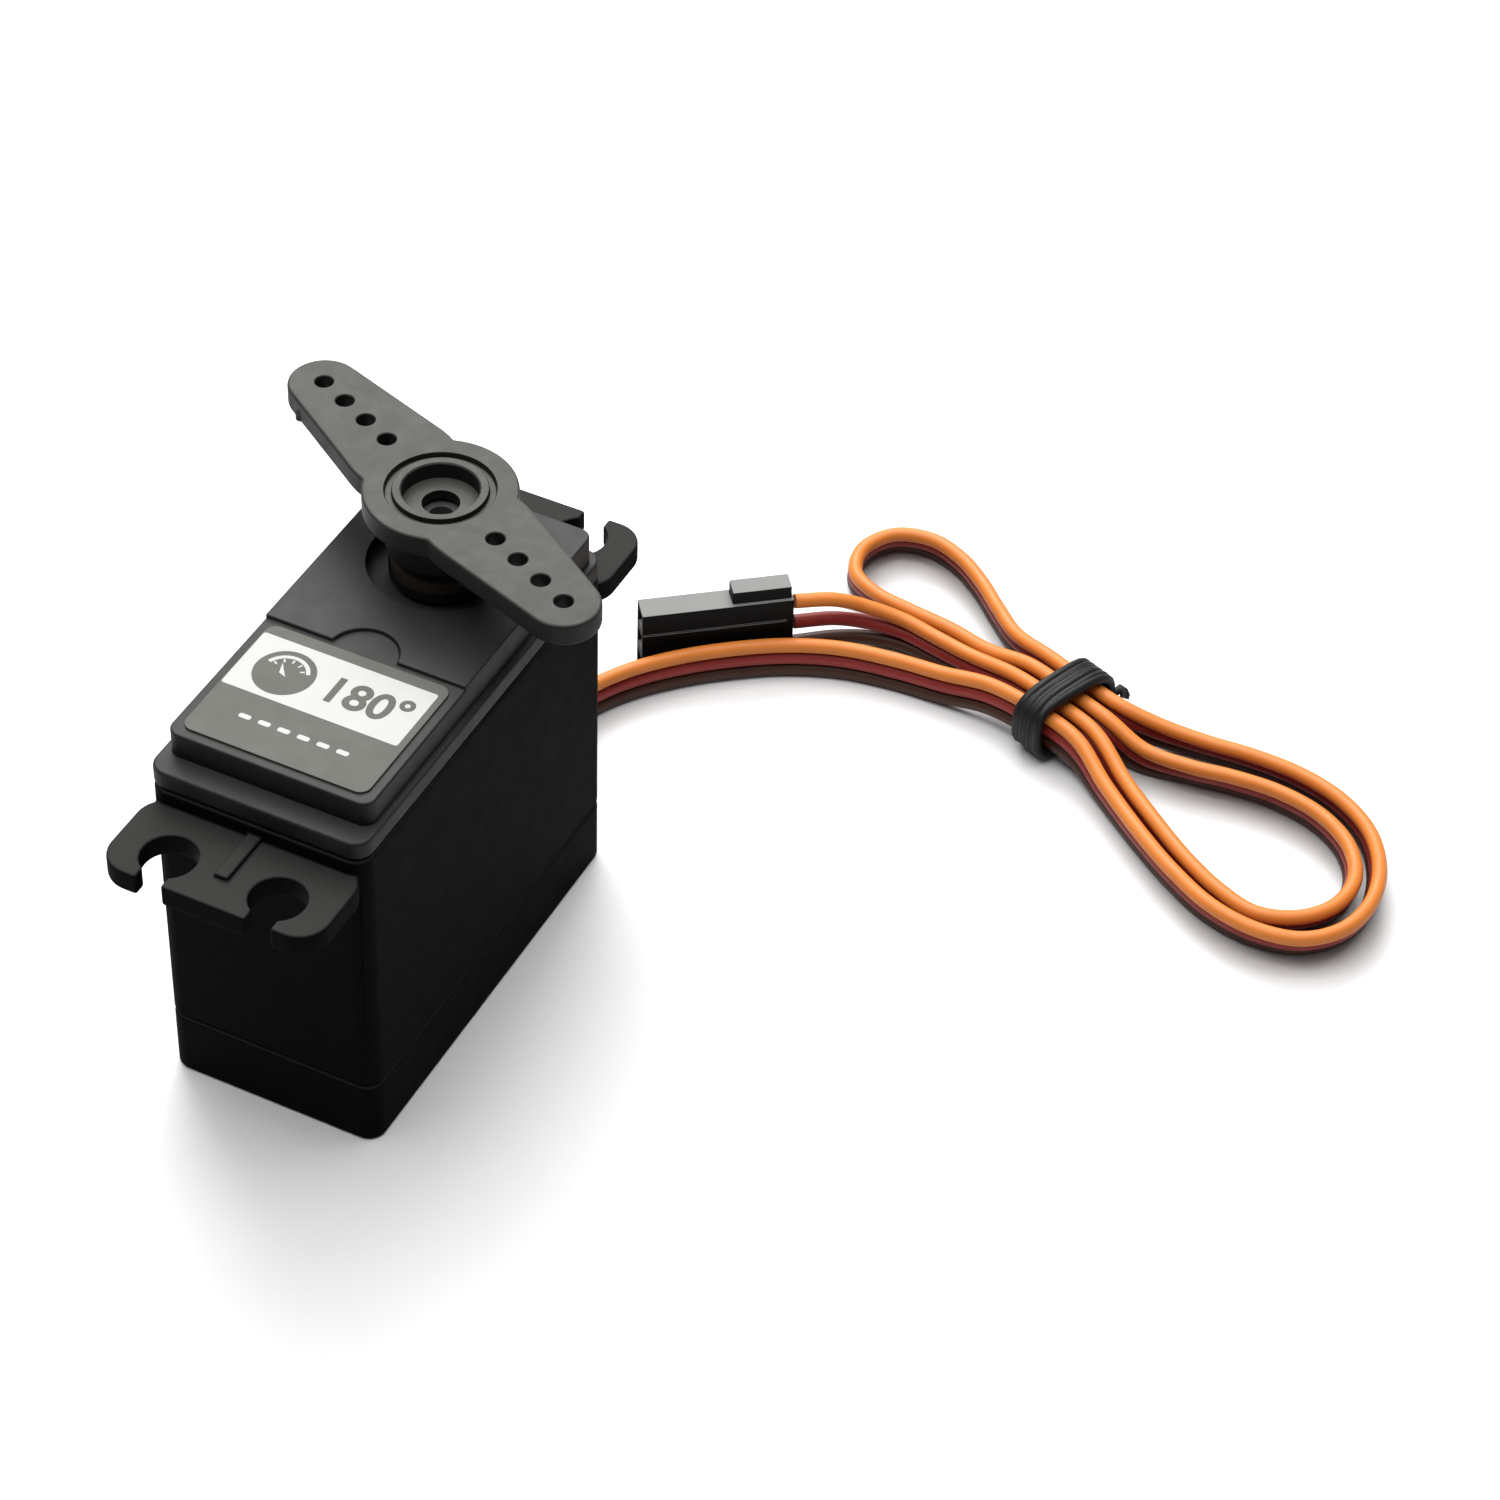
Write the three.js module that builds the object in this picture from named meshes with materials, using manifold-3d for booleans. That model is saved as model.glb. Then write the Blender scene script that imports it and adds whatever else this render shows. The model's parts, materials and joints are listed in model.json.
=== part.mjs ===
// Standard-size hobby servo motor: three-piece plastic case with mounting lugs, a four-stage gear train
// from a brushed motor to a splined output shaft, a two-arm horn, and a three-wire lead tied in a loop.
// Millimetres, +Z up. The origin is on the output shaft's axis, in the plane of the case's base.
// +X runs from the label end to the shaft and wire end.
import * as THREE from 'three';
import { mergeVertices } from 'three/addons/utils/BufferGeometryUtils.js';
import Module from 'manifold-3d';

const wasm = await Module();
wasm.setup();

// ---- driving dimensions ----
const GAP = 0.3; // between two pieces that face each other
const caseFront = -30.4; // label end
const caseBack = 10; // wire end
const caseHalfWidth = 10;
const wall = 1.4;
const cornerRadius = 1.6;
const seamLow = 6.3; // top of the bottom cover
const seamHigh = 32.4; // top of the middle case
const ledgeTop = 34.5; // shoulder all round the top cover
const plateauTop = 36.9; // field that carries the label
const deckTop = 37.3; // field round the output shaft
const deckStep = -12.8; // x where the deck drops to the plateau
const plateauFront = -28.2;
const deckBack = 9.2;
const raisedHalfWidth = 9.4;
const raisedWall = 1.1;
const roof = 1.2; // thickness of the deck
const floorThickness = 1.4;
const gearFloor = 29.2; // top of the plate under the gears
const gearPlate = 1.6;

const lug = {
  reach: 8, top: 31, thickness: 2.1, holeRadius: 2.35, slot: 2.3, cornerRadius: 2.6,
  ribLength: 5.2, ribHalfWidth: 0.65, ribHeight: 0.5,
};
const holeSpacing = { x: 50, y: 10 }; // between the lug holes' centres
const caseMiddle = (caseFront + caseBack) / 2;
const halfLength = (caseBack - caseFront) / 2;

const screwAt = { front: -28, back: 7.6, y: 7.6 };
const screw = { shank: 0.9, head: 1.6, headDepth: 1.2, recess: 0.7, tip: 34 };
const postRadius = 2;

const pinAt = -10; // x of the idler pin
const pinRadius = 0.75;
const pinSeat = 1.3; // depth of its hole in the gear plate
const runningGap = 0.1;

// Gear layers from the gear plate upwards, then each wheel's teeth and module.
const layer = [29.6, 31.2, 32.8, 34.4];
const faceWidth = 1.3;
const train = [
  { pinion: 10, wheel: 46, module: 0.3 },
  { pinion: 10, wheel: 40, module: 0.4 },
  { pinion: 16, wheel: 34, module: 0.4 },
  { pinion: 13, wheel: 37, module: 0.4 },
];
const pitch = (teeth, module) => (teeth * module) / 2;
const stageSpan = ({ pinion, wheel, module }) => pitch(pinion + wheel, module);
const motorAt = pinAt - stageSpan(train[0]);

const shaft = {
  journal: 2.1, bearing: 3, spline: 2.95, splineRoot: 2.65, splineTeeth: 24, top: 42.2, foot: 27,
  screwBore: 1.1, keyDepth: 2.2,
};
const boss = { radius: 6.4, top: 38.4, bore: 4.5 };
const bushing = { inner: 3.1, outer: 4.35, low: 36.5, high: 38.3 };

const motor = { radius: 7.2, low: 8.6, high: 27.2, shaft: 0.8, wall: 0.8, nose: 2.2, noseHeight: 0.9 };
const magnets = { low: 12, high: 24, thickness: 1.3, insideX: 2.5 };
const windings = { radius: 4.6, low: 12.6, high: 23.4, slotDepth: 1.4, slotWidth: 1, commutator: 1.9 };
const pot = { radius: 6.2, low: 19.5, high: 26.6, shaft: 1.5 };
const board = { low: 2.6, thickness: 1.2 };

// The horn: tip to tip it stands at this angle from +X.
const hornAngle = THREE.MathUtils.degToRad(63.9);
const horn = {
  top: 45.05, plate: 2.1, hub: 6.5, hubFoot: 39.4, footRadius: 4.7, tipRadius: 3.1, tipAt: 17.3,
  shoulder: 4.45, shoulderAt: 7.2, holeRadius: 0.8, firstHole: 7.85, holeStep: 3.15, holes: 4,
  well: 3.25, wellFloor: 43.5, socketTop: 42.6, socket: 3.1, screwHole: 1.6,
  groove: { inner: 3.95, outer: 4.65, depth: 0.45 },
};

// The lead: three wires one above the other, so one plan route serves them all.
const wire = { radius: 0.65, pitch: 1.4, lowest: 0.7, sides: 8, steps: 66 };
// In the loops the wires lean over together, each by this much; they stand upright near the tie and at
// both ends of the route.
const lean = { x: -0.77, y: -0.36, first: 13, last: 62, upright: 4, over: 8 };
const plug = { length: 14.4, height: 7.6, thickness: 2.6, pitch: 2.54, angle: -52, x: 41.6, y: -13.1 };
const key = { length: 5.6, height: 1.4, thickness: 2, setBack: 0.2 };
const socket = { size: 1.9, depth: 11 };
const grommet = { halfWidth: 1.9, low: 1.2, high: 6, noseLength: 2.5, collar: 1.2 };
const tie = {
  x: 43.1, y: -40.4, turn: -21.2, length: 4.4, halfWidth: 4.3, height: 6.9, strand: 0.9, corner: 2,
};

// Each stop on the route: x, y, extra height, and how far the wires have spread to the plug's pitch (0 to 1).
const route = [
  [12.8, 0, 1.4, 0], [16.5, 0.2, 1.2, 0], [20.5, 0.3, 0.5, 0], [24.5, -0.5, 0, 0], [28.6, -2.7, 0, 0],
  [32.4, -5.9, 0, 0], [35.9, -9.9, 0, 0], [38.8, -14.2, 0, 0], [40.8, -18.9, 0, 0], [41.7, -23.8, 0, 0],
  [41.9, -28.8, 0.2, 0], [41.7, -33.6, 1, 0], [40.3, -39.3, 1.2, 0], [38.6, -43.7, 1.1, 0],
  [35.8, -47.6, 0.2, 0], [31.5, -53.2, 0, 0], [28.6, -57.4, 0, 0], [26.3, -61.8, 0, 0], [25.4, -66.4, 0, 0],
  [26.2, -70.4, 0, 0], [29, -73.2, 0, 0], [33.2, -74.2, 0, 0], [37.6, -73.4, 0, 0], [41.6, -71, 0, 0],
  [44.4, -67.2, 0, 0], [45.8, -62.8, 0, 0], [46.1, -58, 0, 0], [45.8, -53.4, 0, 0], [45.3, -49.2, 0.3, 0],
  [44.8, -45.2, 1.1, 0], [45.9, -41.5, 1.2, 0], [48, -36.8, 1.1, 0], [50.9, -32.2, 0.2, 0],
  [53.6, -29.2, 0, 0], [56.4, -26.2, 0, 0], [58.7, -23, 0, 0], [59.9, -19.4, 0, 0], [58.9, -15.9, 0, 0],
  [55.6, -14.1, 0, 0], [52, -15, 0, 0], [50.2, -18, 0, 0], [49.5, -22, 0, 0], [48.9, -26.4, 0, 0],
  [47.5, -30.8, 0.2, 0], [46, -35.8, 1.1, 0], [44, -40.8, 1.2, 0], [42.5, -45, 1.1, 0], [41.8, -49, 0, 0],
  [42, -53.4, 0, 0], [42.6, -57.6, 0, 0], [42.7, -62, 0, 0], [41.6, -66.4, 0, 0], [39, -70, 0, 0],
  [35.3, -71.9, 0, 0], [31.4, -71.5, 0, 0], [28.5, -69.1, 0, 0], [27.3, -65.6, 0, 0], [28.4, -61.8, 0, 0],
  [30.9, -57.4, 0, 0], [34, -53.2, 0, 0], [37, -49.2, 0.2, 0], [40.3, -44.7, 1.1, 0], [42.2, -40, 1.2, 0],
  [43.9, -35.2, 1.1, 0], [45.4, -30, 0.2, 0], [46.4, -26, 0, 0], [46.9, -22.4, 0, 0.1], [46.1, -19.2, 0, 0.4],
  [44.4, -16.4, 0, 0.8], [41.78, -13.34, 0, 1],
];

// ---- helpers ----
function solid(geometry) {
  const bare = geometry.index ? geometry.clone() : geometry;
  bare.deleteAttribute('normal');
  bare.deleteAttribute('uv');
  const merged = mergeVertices(bare, 1e-5);
  const mesh = new wasm.Mesh({
    numProp: 3,
    vertProperties: new Float32Array(merged.attributes.position.array),
    triVerts: new Uint32Array(merged.index.array),
  });
  return new wasm.Manifold(mesh);
}

function toGeometry(manifold) {
  const mesh = manifold.getMesh();
  const geometry = new THREE.BufferGeometry();
  geometry.setAttribute('position', new THREE.BufferAttribute(mesh.vertProperties, 3));
  geometry.setIndex(new THREE.BufferAttribute(mesh.triVerts, 1));
  geometry.computeVertexNormals();
  return geometry;
}

const polar = (radius, angle) => new THREE.Vector2(radius * Math.cos(angle), radius * Math.sin(angle));
const sorted = (a, b) => [Math.min(a, b), Math.max(a, b)];
const union = (...solids) => solids.reduce((sum, next) => sum.add(next));
const cut = (body, ...tools) => tools.reduce((rest, tool) => rest.subtract(tool), body);

function prism(shape, low, high, curveSegments = 4) {
  const depth = high - low;
  const geometry = new THREE.ExtrudeGeometry(shape, { depth, bevelEnabled: false, curveSegments });
  return solid(geometry.translate(0, 0, low));
}

function roundedRectangle(x0, x1, y0, y1, radius) {
  const shape = new THREE.Shape();
  shape.absarc(x1 - radius, y1 - radius, radius, 0, Math.PI / 2);
  shape.absarc(x0 + radius, y1 - radius, radius, Math.PI / 2, Math.PI);
  shape.absarc(x0 + radius, y0 + radius, radius, Math.PI, 1.5 * Math.PI);
  shape.absarc(x1 - radius, y0 + radius, radius, 1.5 * Math.PI, 2 * Math.PI);
  return shape;
}

function block(x0, x1, y0, y1, z0, z1) {
  const box = new THREE.BoxGeometry(x1 - x0, y1 - y0, z1 - z0);
  return solid(box.translate((x0 + x1) / 2, (y0 + y1) / 2, (z0 + z1) / 2));
}

function rod(radius, z0, z1, x = 0, y = 0, sides = 24) {
  const cylinder = new THREE.CylinderGeometry(radius, radius, z1 - z0, sides).rotateX(Math.PI / 2);
  return solid(cylinder.translate(x, y, (z0 + z1) / 2));
}

// A body of revolution about Z, from [radius, height] points that start and end on the axis.
function turned(points, sides = 32) {
  const profile = points.map(([radius, height]) => new THREE.Vector2(radius, height));
  return solid(new THREE.LatheGeometry(profile, sides).rotateX(Math.PI / 2));
}

function caseOutline(inset) {
  return roundedRectangle(caseFront + inset, caseBack - inset, -caseHalfWidth + inset, caseHalfWidth - inset,
    Math.max(cornerRadius - inset, 0.4));
}

const screwPlaces = [screwAt.front, screwAt.back].flatMap((x) => [[x, -screwAt.y], [x, screwAt.y]]);
const atScrews = (radius, z0, z1, sides) => (
  union(...screwPlaces.map(([x, y]) => rod(radius, z0, z1, x, y, sides))));

// ---- gears ----
// Straight-flanked teeth, thinned for backlash, so that meshed wheels turn past each other without touching.
function gearShape(teeth, module, phase) {
  const radius = pitch(teeth, module);
  const step = (2 * Math.PI) / teeth;
  const tooth = [
    [radius - 1.1 * module, -0.36], [radius + 0.7 * module, -0.1],
    [radius + 0.7 * module, 0.1], [radius - 1.1 * module, 0.36],
  ];
  const corners = [];
  for (let i = 0; i < teeth; i += 1) {
    corners.push(...tooth.map(([r, share]) => polar(r, phase + (i + share) * step)));
  }
  return new THREE.Shape(corners);
}

const gear = (teeth, module, phase, low, high = low + faceWidth) => (
  prism(gearShape(teeth, module, phase), low, high));

// Half a tooth of turn puts a gap where its neighbour on the -X or +X side has a tooth.
const toothAt = (teeth, angle) => angle % ((2 * Math.PI) / teeth);
const gapAt = (teeth, angle) => toothAt(teeth, angle) + Math.PI / teeth;

function motorPinion() {
  const { pinion, module } = train[0];
  const body = gear(pinion, module, toothAt(pinion, 0), layer[0], layer[0] + faceWidth + 0.1);
  return cut(body, rod(motor.shaft + 0.02, layer[0] - 1, layer[0] + 2, 0, 0, 12)).translate([motorAt, 0, 0]);
}

// One wheel with the next stage's pinion standing on it.
function compoundGear(index, wheelSide, pinionSide, bore, x) {
  const driven = train[index];
  const driving = train[index + 1];
  const body = union(
    gear(driven.wheel, driven.module, gapAt(driven.wheel, wheelSide), layer[index]),
    gear(driving.pinion, driving.module, toothAt(driving.pinion, pinionSide), layer[index],
      layer[index + 1] + faceWidth),
  );
  return cut(body, rod(bore, layer[index] - 1, layer[index + 1] + 3, 0, 0, 24)).translate([x, 0, 0]);
}

function outputGear() {
  const { wheel, module } = train[3];
  const corners = Array.from({ length: 2 * shaft.splineTeeth }, (unused, i) => (
    polar(i % 2 ? shaft.splineRoot : shaft.spline, (i * Math.PI) / shaft.splineTeeth)));
  const body = union(
    gear(wheel, module, gapAt(wheel, Math.PI), layer[3]),
    rod(shaft.journal, shaft.foot, layer[3] + 0.5, 0, 0, 24),
    rod(shaft.bearing, layer[3] + 0.2, bushing.high + 0.5, 0, 0, 24),
    prism(new THREE.Shape(corners), bushing.high + 0.3, shaft.top),
  );
  const keyway = block(-pot.shaft - 0.1, pot.shaft + 0.1, -0.6, 0.6,
    shaft.foot - 1, shaft.foot + shaft.keyDepth);
  return cut(body, keyway, rod(shaft.screwBore, shaft.top - 6, shaft.top + 1, 0, 0, 16));
}

// ---- case ----
function bottomCover() {
  const shell = cut(
    prism(caseOutline(0), 0, seamLow),
    prism(caseOutline(wall), floorThickness, seamLow + 1),
  );
  const withPosts = union(shell, atScrews(postRadius, floorThickness / 2, seamLow, 12));
  return cut(
    withPosts,
    atScrews(screw.head + 0.3, -1, screw.headDepth + 0.3, 12),
    atScrews(screw.shank + 0.2, -1, seamLow + 1, 8),
    block(caseBack - 2 * wall, caseBack + 1, -grommet.halfWidth, grommet.halfWidth, grommet.low, seamLow + 1),
  );
}

const lugEnd = (side) => caseMiddle + side * (halfLength + lug.reach);

function lugOutline(side) {
  const [x0, x1] = sorted(lugEnd(side), caseMiddle + side * (halfLength - 1));
  return roundedRectangle(x0, x1, -caseHalfWidth, caseHalfWidth, lug.cornerRadius);
}

function lugs() {
  const low = lug.top - lug.thickness;
  const pieces = [];
  for (const side of [-1, 1]) {
    const holeX = caseMiddle + (side * holeSpacing.x) / 2;
    const faceX = caseMiddle + side * halfLength;
    let plate = prism(lugOutline(side), low, lug.top);
    for (const y of [-holeSpacing.y / 2, holeSpacing.y / 2]) {
      const [x0, x1] = sorted(holeX, lugEnd(side) + side);
      plate = cut(plate, rod(lug.holeRadius, low - 1, lug.top + 1, holeX, y, 20));
      plate = cut(plate, block(x0, x1, y - lug.slot / 2, y + lug.slot / 2, low - 1, lug.top + 1));
    }
    const [r0, r1] = sorted(faceX - side * 0.5, faceX + side * lug.ribLength);
    const rib = block(r0, r1, -lug.ribHalfWidth, lug.ribHalfWidth, lug.top - 0.2, lug.top + lug.ribHeight);
    pieces.push(plate, rib);
  }
  return union(...pieces);
}

function middleCase() {
  const low = seamLow + GAP;
  const outside = union(prism(caseOutline(0), low, seamHigh), lugs());
  const motorRoom = prism(caseOutline(wall), low - 1, gearFloor - gearPlate);
  const gearRoom = prism(caseOutline(wall), gearFloor, seamHigh + 1);
  const hollow = union(
    cut(outside, motorRoom, gearRoom),
    atScrews(postRadius, low, seamHigh, 12),
  );
  return cut(
    hollow,
    atScrews(screw.shank + 0.2, low - 1, seamHigh + 1, 8),
    rod(motor.nose + 0.8, gearFloor - 3, gearFloor + 1, motorAt, 0, 24),
    rod(shaft.journal + runningGap, gearFloor - 3, gearFloor + 1, 0, 0, 24),
    rod(pinRadius + 0.05, gearFloor - pinSeat, gearFloor + 1, pinAt, 0, 16),
  );
}

// The raised field's outline between two x values, drawn in by an inset on all sides.
const raisedOutline = (x0, x1, inset) => (
  roundedRectangle(x0 + inset, x1 - inset, -raisedHalfWidth + inset, raisedHalfWidth - inset, 1.2));

function topCover() {
  const low = seamHigh + GAP;
  const lobe = rod(3, deckTop - 2, deckTop + 1, deckStep - 0.3, 0, 24);
  const raised = cut(
    prism(raisedOutline(plateauFront, deckBack, 0), low, deckTop),
    block(plateauFront - 1, deckStep, -caseHalfWidth, caseHalfWidth, plateauTop, deckTop + 1),
    lobe.intersect(block(deckStep - 4, deckStep + 4, -4, 4, plateauTop, deckTop + 1)),
  );
  const outside = union(
    prism(caseOutline(0), low, ledgeTop),
    raised,
    rod(boss.radius, deckTop - 0.5, boss.top, 0, 0, 24),
  );
  const inside = union(
    prism(caseOutline(wall), low - 1, ledgeTop - roof),
    prism(raisedOutline(plateauFront, deckBack, raisedWall), low - 1, plateauTop - roof + 0.1),
    prism(raisedOutline(deckStep, deckBack, raisedWall), low - 1, deckTop - roof),
  );
  const posts = union(
    atScrews(postRadius - 0.1, low, ledgeTop - 0.1, 12),
    rod(pinRadius + 0.8, plateauTop - roof, plateauTop - 0.1, pinAt, 0, 16),
  );
  return cut(
    union(cut(outside, inside), posts),
    atScrews(screw.shank + 0.15, low - 1, screw.tip + 0.1, 8),
    rod(pinRadius + 0.05, plateauTop - 2, plateauTop - 0.6, pinAt, 0, 16),
    rod(boss.bore, bushing.low - 0.05, boss.top + 1, 0, 0, 24),
    rod(bushing.inner + 0.3, deckTop - 2, boss.top + 1, 0, 0, 24),
  );
}

function caseScrew(x, y) {
  const { shank, head, headDepth, recess, tip } = screw;
  const profile = [
    [0, 0.7], [recess, 0.7], [recess, 0.2], [head, 0.2], [head, headDepth],
    [shank, headDepth], [shank, tip - 0.5], [shank / 2, tip], [0, tip],
  ];
  return turned(profile, 8).translate([x, y, 0]);
}

// ---- motor, feedback and electronics ----
function motorCan() {
  const tube = cut(
    rod(motor.radius, motor.low, motor.high, 0, 0, 24),
    rod(motor.radius - motor.wall, motor.low - 1, motor.high - motor.wall, 0, 0, 24),
  );
  const nose = rod(motor.nose, motor.high - 0.3, motor.high + motor.noseHeight, 0, 0, 16);
  return cut(union(tube, nose), rod(motor.shaft + 0.1, motor.high - 2, motor.high + 2, 0, 0, 12))
    .translate([motorAt, 0, 0]);
}

// Two curved magnets line the can, on its +X and -X sides.
function magnet(side) {
  const { low, high, thickness, insideX } = magnets;
  const outer = motor.radius - motor.wall - 0.15;
  const ring = cut(rod(outer, low, high, 0, 0, 24), rod(outer - thickness, low - 1, high + 1, 0, 0, 24));
  const [x0, x1] = sorted(side * insideX, side * motor.radius);
  return ring.intersect(block(x0, x1, -motor.radius, motor.radius, low - 1, high + 1))
    .translate([motorAt, 0, 0]);
}

function motorEndCap() {
  const cap = union(
    rod(motor.radius, motor.low - 1.4, motor.low - 0.2, 0, 0, 24),
    rod(motor.radius - motor.wall - 0.15, motor.low - 0.8, motor.low + 1.2, 0, 0, 24),
  );
  return cut(cap, rod(motor.shaft + 0.1, motor.low - 2, motor.low + 3, 0, 0, 12)).translate([motorAt, 0, 0]);
}

function rotor() {
  const { radius, low, high, slotDepth, slotWidth, commutator } = windings;
  const slot = block(radius - slotDepth, radius + 1, -slotWidth / 2, slotWidth / 2, low - 1, high + 1);
  return union(
    rod(motor.shaft, motor.low - 1, layer[0] + faceWidth + 0.3, 0, 0, 12),
    cut(rod(radius, low, high, 0, 0, 24), ...[60, 180, 300].map((angle) => slot.rotate([0, 0, angle]))),
    rod(commutator, motor.low + 1.5, low + 0.2, 0, 0, 12),
  ).translate([motorAt, 0, 0]);
}

function motorTerminal(side) {
  const [low, high] = [board.low + board.thickness + 0.2, motor.low - 1.6];
  return block(motorAt - 0.25, motorAt + 0.25, side * 5 - 0.8, side * 5 + 0.8, low, high);
}

function potentiometerBody() {
  const can = union(
    rod(pot.radius, pot.low, pot.high, 0, 0, 24),
    block(-pot.radius - 0.4, -2, -3, 3, pot.low + 1, pot.low + 4),
  );
  return cut(can, rod(pot.shaft + 0.15, pot.low + 1, pot.high + 1, 0, 0, 16));
}

function potentiometerShaft() {
  return union(
    rod(pot.shaft, pot.low + 1.3, shaft.foot - 0.2, 0, 0, 16),
    block(-pot.shaft + 0.1, pot.shaft - 0.1, -0.45, 0.45, shaft.foot - 0.5, shaft.foot + 2),
  );
}

function circuitBoard() {
  const outline = roundedRectangle(caseFront + 1.8, caseBack - 4.6, -8.2, 8.2, 0.5);
  const plate = prism(outline, board.low, board.low + board.thickness, 2);
  return cut(plate, atScrews(postRadius + GAP, 0, seamLow, 12));
}

const onBoard = board.low + board.thickness + 0.1;
const chip = (x, y, halfX, halfY, height) => (
  block(x - halfX, x + halfX, y - halfY, y + halfY, onBoard, onBoard + height));

// ---- horn ----
function hornOutline() {
  const { hub, tipRadius, tipAt, shoulder, shoulderAt } = horn;
  const tangent = Math.asin((shoulder - tipRadius) / (tipAt - shoulderAt));
  const hubEdge = Math.acos(0.72);
  const shape = new THREE.Shape();
  for (const turn of [0, Math.PI]) {
    const at = (x, y) => [x * Math.cos(turn) - y * Math.sin(turn), x * Math.sin(turn) + y * Math.cos(turn)];
    const [tipX, tipY] = at(tipAt, 0);
    const start = at(hub * Math.cos(hubEdge), -hub * Math.sin(hubEdge));
    if (turn === 0) {
      shape.moveTo(...start);
    }
    const near = at(hub * Math.cos(hubEdge), hub * Math.sin(hubEdge));
    const far = at(shoulderAt + 0.6, 0.1 - shoulder);
    shape.quadraticCurveTo(...at(shoulderAt - 1.6, -shoulder - 0.25), ...far);
    shape.absarc(tipX, tipY, tipRadius, turn - Math.PI / 2 + tangent, turn + Math.PI / 2 - tangent);
    shape.lineTo(...at(shoulderAt + 0.6, shoulder - 0.1));
    shape.quadraticCurveTo(...at(shoulderAt - 1.6, shoulder + 0.25), ...near);
    shape.absarc(0, 0, hub, turn + hubEdge, turn + Math.PI - hubEdge);
  }
  return shape;
}

function hornBody() {
  const { top, plate, groove } = horn;
  const holes = [];
  for (let i = 0; i < horn.holes; i += 1) {
    const out = horn.firstHole + i * horn.holeStep;
    holes.push(...[-out, out].map((x) => rod(horn.holeRadius, top - plate - 1, top + 1, x, 0, 10)));
  }
  const ring = cut(
    rod(groove.outer, top - groove.depth, top + 1, 0, 0, 24),
    rod(groove.inner, top - groove.depth - 1, top + 2, 0, 0, 24),
  );
  const body = union(
    prism(hornOutline(), top - plate, top, 6),
    rod(horn.footRadius, horn.hubFoot, top - plate + 0.5, 0, 0, 24),
  );
  return cut(
    body, ring, ...holes,
    rod(horn.well, horn.wellFloor, top + 1, 0, 0, 24),
    rod(horn.screwHole, horn.hubFoot, top, 0, 0, 16),
    rod(horn.socket, horn.hubFoot - 1, horn.socketTop, 0, 0, 24),
  );
}

// ---- lead ----
function wireGrommet() {
  const { halfWidth, low, high, noseLength, collar } = grommet;
  const inner = caseBack - wall;
  return union(
    block(inner - collar - 0.2, inner - 0.2, -halfWidth - 1, halfWidth + 1, low + GAP + 0.1, high),
    block(inner - 0.5, caseBack + noseLength, -halfWidth + 0.2, halfWidth - 0.2, low + 0.1, high),
  );
}

function leanAt(x, y, stop) {
  const share = (Math.hypot(x - tie.x, y - tie.y) - lean.upright) / lean.over;
  return stop >= lean.first && stop <= lean.last ? THREE.MathUtils.clamp(share, 0, 1) : 0;
}

function wireCurve(index) {
  const fromMiddle = index - 1;
  const atPlug = plug.height / 2 + fromMiddle * plug.pitch;
  const points = route.map(([x, y, lift, spread], stop) => {
    const flat = wire.lowest + lift + index * wire.pitch;
    const shift = leanAt(x, y, stop) * fromMiddle;
    return new THREE.Vector3(x + shift * lean.x, y + shift * lean.y, flat + (atPlug - flat) * spread);
  });
  return new THREE.CatmullRomCurve3(points, false, 'centripetal');
}

function wireTube(index) {
  const section = new THREE.Shape(Array.from({ length: wire.sides }, (unused, i) => (
    polar(wire.radius, ((i + 0.5) * 2 * Math.PI) / wire.sides))));
  const extrudePath = wireCurve(index);
  return new THREE.ExtrudeGeometry(section, { extrudePath, steps: wire.steps, curveSegments: 1 });
}

// The plug stands on its edge, cable end at the group's origin and the sockets towards -X.
function plugHousing() {
  const { length, height, thickness } = plug;
  const body = union(
    block(-length, 0, -thickness / 2, thickness / 2, 0, height),
    block(-key.setBack - key.length, -key.setBack, -key.thickness / 2, key.thickness / 2,
      height - 0.2, height + key.height),
  );
  const sockets = [-1, 0, 1].map((i) => {
    const z = height / 2 + i * plug.pitch;
    const half = socket.size / 2;
    return block(-length - 1, -length + socket.depth, -half, half, z - half, z + half);
  });
  return cut(body, ...sockets);
}

function plugContact(index) {
  const z = plug.height / 2 + (index - 1) * plug.pitch;
  const barrel = block(-plug.length + 0.8, -plug.length + 9, -0.6, 0.6, z - 0.6, z + 0.6);
  return cut(barrel, block(-plug.length, -plug.length + 6, -0.35, 0.35, z - 0.35, z + 0.35));
}

function cableTie() {
  const { length, halfWidth, height, strand } = tie;
  const loop = (inset) => {
    const side = halfWidth + strand - inset;
    const shape = roundedRectangle(-side, side, inset, height - inset, tie.corner - inset);
    return prism(shape, -length / 2 - inset, length / 2 + inset);
  };
  return cut(loop(0), loop(strand));
}

// ---- scene graph ----
const servo = new THREE.Group();

function add(parent, name, shape, color, roughness, metalness = 0) {
  const geometry = shape instanceof THREE.BufferGeometry ? shape : toGeometry(shape);
  const mesh = new THREE.Mesh(geometry, new THREE.MeshStandardMaterial({ color, roughness, metalness }));
  mesh.name = name;
  parent.add(mesh);
  return mesh;
}

const BLACK = 0x1b1c1a;
const STEEL = 0xb9bcc0;
const BRASS = 0xc9a24a;
const BRONZE = 0x4a3a2c;
const NYLON = 0xe9e6da;

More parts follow.
